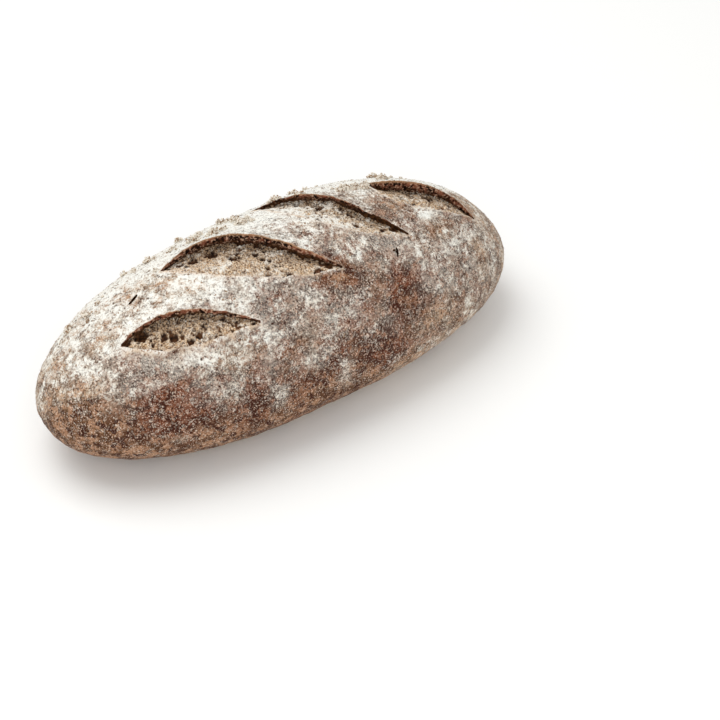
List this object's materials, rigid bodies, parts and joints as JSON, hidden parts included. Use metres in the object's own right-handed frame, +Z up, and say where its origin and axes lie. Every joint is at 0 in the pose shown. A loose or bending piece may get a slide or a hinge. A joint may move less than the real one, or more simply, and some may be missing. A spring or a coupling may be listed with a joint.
{
  "type": "rye roll",
  "caption": "Long oval rye roll with a flat underside and slanting slashes that opened into raised ears across its floured top.",
  "frame": {"origin": "on the resting surface, under the middle of the roll's bounding box", "axes": "+X along the roll's length towards its slightly wider end, +Y towards the side away from which the slashes open, +Z up"},
  "size_m": [0.171, 0.0742, 0.0578],
  "materials": {
    "crust": "dry brown rye crust dusted with white flour, bare crumb in the slashes"
  },
  "bodies": {
    "root": {"rye_roll": "crust"}
  },
  "joints": []
}
